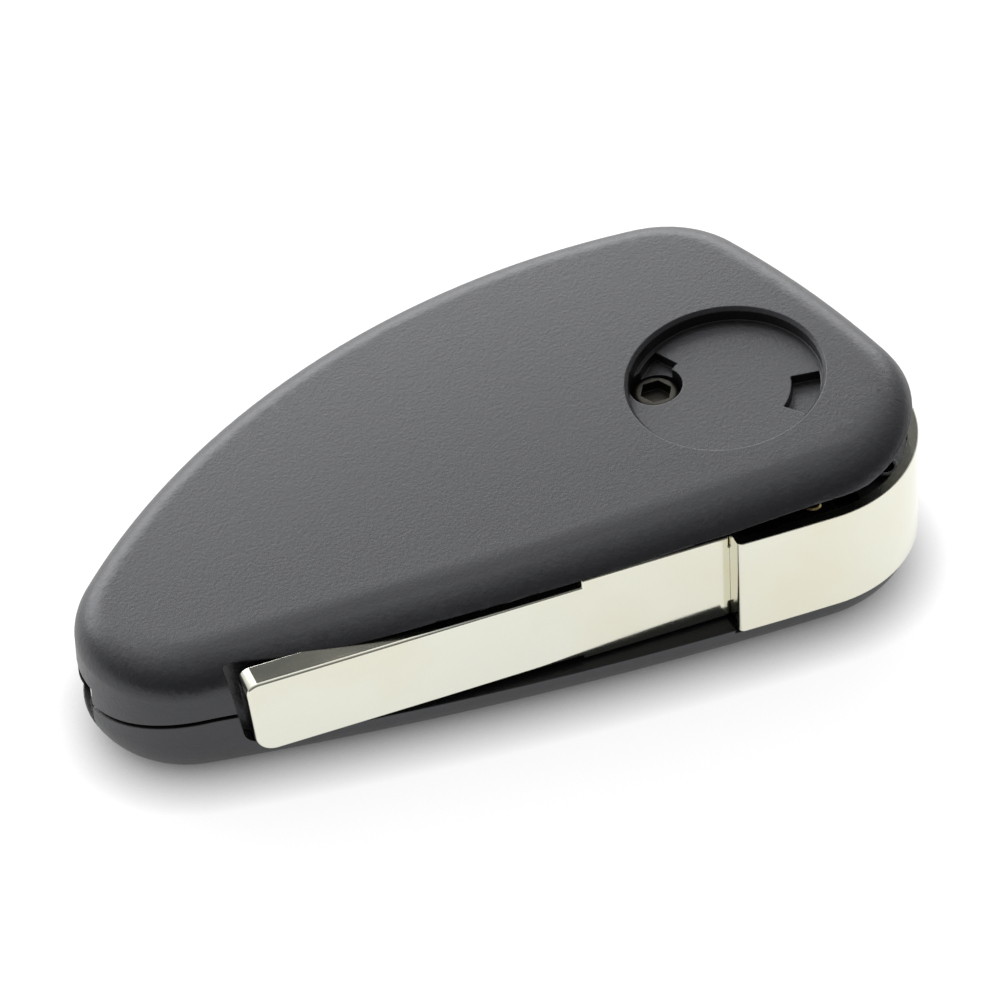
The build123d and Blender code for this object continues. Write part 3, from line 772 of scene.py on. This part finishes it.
low, high = (Vector(corner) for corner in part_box("flip_spring"))
spring_sizes = {
    "Place": Vector((PIVOT_X, PIVOT_Y, low.z + SPRING_WIRE)),
    "Radius": SPRING_RADIUS,
    "Rise": high.z - low.z - 2 * SPRING_WIRE,
    "Turns": SPRING_TURNS,
    "Wire": SPRING_WIRE,
    "Sides": SPRING_SIDES,
}
spring = grown("flip_coil", coil_tree("spring_coil", steel), spring_sizes)
settle(spring, "case")
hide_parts("flip_spring")
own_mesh(spring)
print("spring from", round(low.z / MM, 2), "to", round(high.z / MM, 2), "mm")

# %% Screw thread
THREAD_RADIUS = 1.16 * MM
THREAD_WIRE = 0.13 * MM
THREAD_PITCH = 0.4 * MM
THREAD_LENGTH = 5.0 * MM
THREAD_SIDES = 4
THREAD_START = 0.3 * MM

low, high = (Vector(corner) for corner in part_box("shell_screw"))
middle = (low + high) / 2
thread_sizes = {
    "Place": Vector((middle.x, middle.y, low.z + THREAD_START)),
    "Radius": THREAD_RADIUS,
    "Rise": THREAD_LENGTH,
    "Turns": THREAD_LENGTH / THREAD_PITCH,
    "Wire": THREAD_WIRE,
    "Sides": THREAD_SIDES,
}
thread = grown("screw_thread", coil_tree("thread_coil", blackened), thread_sizes)
settle(thread, "case")
print("thread turns:", round(THREAD_LENGTH / THREAD_PITCH, 1))

# %% [markdown]
# ## Signs on the keys
#
# The three keys on the other face show what they do: a shut padlock, an open one and a car with
# its boot lid up. Such signs are printed in pale ink. Each could be an image, but flat plates and
# bands a twentieth of a millimetre proud of the rubber need none, and they are sharp from any
# distance. Two helpers draw them in mm, to the right and up from the sign's middle.

# %% Plates and bands
SIGN_LOW = 0.20
SIGN_HIGH = 0.32
LINE_WIDTH = 0.42
STEEPEST_MITRE = 0.5


def plate(work, corners):
    """A flat plate with these corners."""
    low = [work.verts.new((u, v, SIGN_LOW)) for u, v in corners]
    high = [work.verts.new((u, v, SIGN_HIGH)) for u, v in corners]
    work.faces.new(low)
    work.faces.new(high[::-1])
    for i in range(len(corners)):
        work.faces.new((low[i - 1], high[i - 1], high[i], low[i]))


def band(work, path, closed=False):
    """A flat band of the line's width along a path."""
    points = [Vector(point) for point in path]
    count = len(points)
    runs = count if closed else count - 1
    ways = [(points[(i + 1) % count] - points[i]).normalized() for i in range(runs)]
    sides = []
    for i, here in enumerate(points):
        meeting = [ways[i - 1]] if i or closed else []
        meeting += [ways[i]] if i < runs else []
        way = sum(meeting, Vector((0.0, 0.0))).normalized()
        mitre = max(way.dot(meeting[0]), STEEPEST_MITRE)
        across = Vector((-way.y, way.x)) * (LINE_WIDTH / 2 / mitre)
        sides.append((here + across, here - across))
    for i in range(runs):
        (left, right), (next_left, next_right) = sides[i], sides[(i + 1) % count]
        plate(work, [right, next_right, next_left, left])


def arc(middle, radius, start, stop, steps=14):
    """Points round an arc, with its angles in degrees."""
    turns = [radians(start + (stop - start) * i / steps) for i in range(steps + 1)]
    return [(middle[0] + radius * cos(t), middle[1] + radius * sin(t)) for t in turns]


print("a sign stands from", SIGN_LOW, "to", SIGN_HIGH, "mm")

# %% Padlocks and car
LOCK_CORNERS = [
    (1.35, -1.75, -90),
    (1.35, -0.15, 0),
    (-1.35, -0.15, 90),
    (-1.35, -1.75, 180),
]
LOCK_ROUND = 0.3
SHACKLE_RADIUS = 0.95
SHACKLE_FOOT = 0.1
SHACKLE_MIDDLE = 0.85
OPEN_LEG = 0.75
CAR_BODY = [
    (-2.7, -0.75),
    (-2.7, 0.05),
    (-1.6, 0.3),
    (-0.8, 1.1),
    (0.8, 1.1),
    (1.4, 0.4),
    (2.7, 0.25),
    (2.7, -0.75),
]
BOOT_LID = [(1.35, 0.75), (2.55, 1.6)]
WHEELS = [(-1.6, -0.95), (1.5, -0.95)]
WHEEL_RADIUS = 0.55


def padlock(work, leg):
    """A padlock whose right leg ends at this height."""
    body = []
    for u, v, start in LOCK_CORNERS:
        body += arc((u, v), LOCK_ROUND, start, start + 90, 4)
    plate(work, body)
    bow = arc((0.0, SHACKLE_MIDDLE), SHACKLE_RADIUS, 180, 0)
    band(work, [(-SHACKLE_RADIUS, SHACKLE_FOOT)] + bow + [(SHACKLE_RADIUS, leg)])


def car(work):
    """A car from the side with its boot lid up."""
    band(work, CAR_BODY, closed=True)
    band(work, BOOT_LID)
    for wheel in WHEELS:
        plate(work, arc(wheel, WHEEL_RADIUS, 0, 345, 23))


SIGNS = {
    "lock": lambda work: padlock(work, SHACKLE_FOOT),
    "unlock": lambda work: padlock(work, OPEN_LEG),
    "boot": car,
}
print("signs:", list(SIGNS))

# %% Ink
INK_PER_METRE = 3000.0
INK_DARK = (0.50, 0.51, 0.52)
INK_LIGHT = (0.60, 0.61, 0.62)
INK_ROUGHNESS = 0.45

ink, start, shader, place = new_finish("sign_ink")
sockets = {"Vector": place, "Scale": INK_PER_METRE}
shade = start.node("ShaderNodeTexNoise", sockets=sockets)
mixed(start, shade, INK_DARK, INK_LIGHT).feed(shader, "Base Color")
(INK_ROUGHNESS + 0.1 * shade).feed(shader, "Roughness")
print("ink:", ink.name)

# %% [markdown]
# A sign is read with the pivot end up. Seen from below that way, its right side is the case's +Y,
# so a sign's right and up swap to become X and Y. The swap mirrors the mesh, so the faces' normals
# are worked out anew and turned outwards. Each sign rides on its own key and sinks with it.

# %% Signs on the keys
SEEN_FROM_BELOW = Matrix(((0, 1, 0), (1, 0, 0), (0, 0, 1))).to_4x4()

for key, draw in SIGNS.items():
    low, high = (Vector(corner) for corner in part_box(key + "_button"))
    middle = Vector(((low.x + high.x) / 2, (low.y + high.y) / 2, 0.0))
    work = bmesh.new()
    draw(work)
    work.transform(Matrix.Translation(middle) @ SEEN_FROM_BELOW @ Matrix.Scale(MM, 4))
    work.normal_update()
    bmesh.ops.recalc_face_normals(work, faces=work.faces)
    mesh = bpy.data.meshes.new(key + "_sign")
    work.to_mesh(mesh)
    work.free()
    mesh.materials.append(ink)
    sign = placed(key + "_sign", mesh)
    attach(sign, key + "_key")
    print(sign.name, "has", len(mesh.polygons), "faces")
